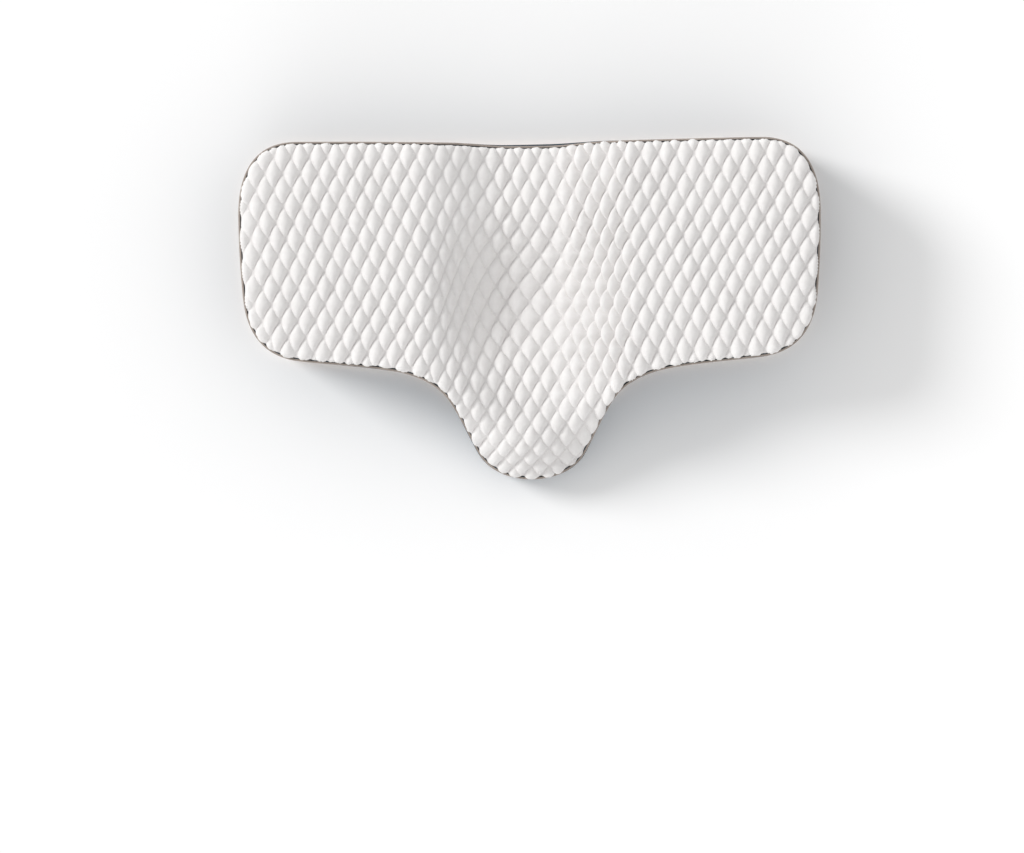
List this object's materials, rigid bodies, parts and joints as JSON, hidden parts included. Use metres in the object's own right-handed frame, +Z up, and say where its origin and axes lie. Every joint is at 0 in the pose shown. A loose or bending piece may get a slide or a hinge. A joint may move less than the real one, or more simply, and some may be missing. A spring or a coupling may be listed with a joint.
{
  "type": "anti-snore pillow",
  "caption": "Contoured bed pillow with two high wings, a bowl for the head, a low tongue for the neck, a quilted top, a mesh border and piping.",
  "frame": {"origin": "middle of the pillow's box at the surface that it lies on", "axes": "+X across the wings, -Y towards the neck tongue, +Z up out of the quilted top"},
  "size_m": [0.63, 0.37, 0.13],
  "materials": {
    "quilted_knit": "white quilted knit, matt",
    "spacer_mesh": "navy spacer mesh with fine holes",
    "plain_band": "slate plain weave, matt",
    "base_fabric": "cream smooth knit",
    "piping_cord": "taupe woven piping"
  },
  "bodies": {
    "root": {"quilted_top": "quilted_knit", "mesh_border": "spacer_mesh", "back_band": "plain_band", "base_panel": "base_fabric", "piping": "piping_cord"}
  },
  "joints": []
}
